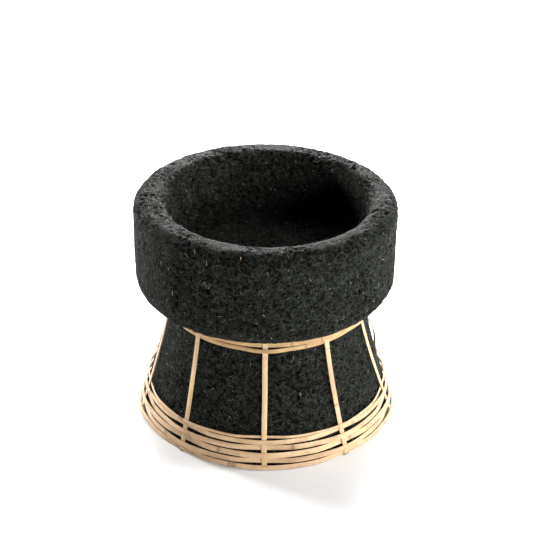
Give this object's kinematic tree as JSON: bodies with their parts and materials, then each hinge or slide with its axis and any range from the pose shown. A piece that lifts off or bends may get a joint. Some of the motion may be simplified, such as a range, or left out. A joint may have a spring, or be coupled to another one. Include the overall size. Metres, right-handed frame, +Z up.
{
  "type": "stone mortar",
  "caption": "Round stone mortar bowl with a thick wall and a shallow basin, on a flared pedestal bound in a woven rattan cage.",
  "frame": {"origin": "centre of the foot, on the surface that the mortar stands on", "axes": "+Z up along the axis of the bowl and the pedestal; -Y towards the front rib"},
  "size_m": [0.1857, 0.1858, 0.1635],
  "materials": {
    "stone": "matt, porous and fibrous, charcoal black",
    "rattan_rib": "natural split rattan, fine lengthwise grain, satin",
    "rattan_hoop": "natural split rattan, fine lengthwise grain, satin"
  },
  "bodies": {
    "root": {"mortar": "stone", "rib_1": "rattan_rib", "rib_2": "rattan_rib", "rib_3": "rattan_rib", "rib_4": "rattan_rib", "rib_5": "rattan_rib", "rib_6": "rattan_rib", "rib_7": "rattan_rib", "rib_8": "rattan_rib", "rib_9": "rattan_rib", "rib_10": "rattan_rib", "neck_hoop_1": "rattan_hoop", "neck_hoop_2": "rattan_hoop", "base_hoop_1": "rattan_hoop", "base_hoop_2": "rattan_hoop", "base_hoop_3": "rattan_hoop", "base_hoop_4": "rattan_hoop", "base_hoop_5": "rattan_hoop", "base_hoop_6": "rattan_hoop"}
  },
  "joints": []
}
